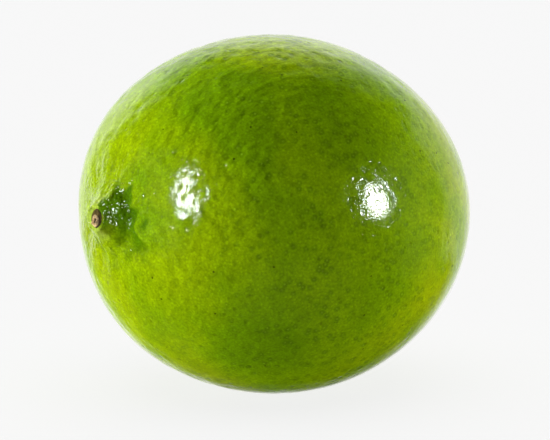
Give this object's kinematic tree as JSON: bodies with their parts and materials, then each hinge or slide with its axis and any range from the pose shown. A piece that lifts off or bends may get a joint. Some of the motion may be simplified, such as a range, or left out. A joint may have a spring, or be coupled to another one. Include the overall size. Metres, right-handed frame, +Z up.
{
  "type": "lime",
  "caption": "Whole lime lying on its side, with a glossy pitted peel, a low furrowed neck around a woody stem button, a small blossom nipple and a flat resting spot.",
  "frame": {"origin": "middle of the small flat spot that the lime rests on", "axes": "+Z up, +X along the fruit towards its blossom end, so the stem end is at -X"},
  "size_m": [0.0656, 0.0551, 0.0543],
  "materials": {
    "waxy_peel": "gloss",
    "dry_calyx": "matte"
  },
  "bodies": {
    "root": {"fruit": "waxy_peel", "stem_button": "dry_calyx"}
  },
  "joints": []
}
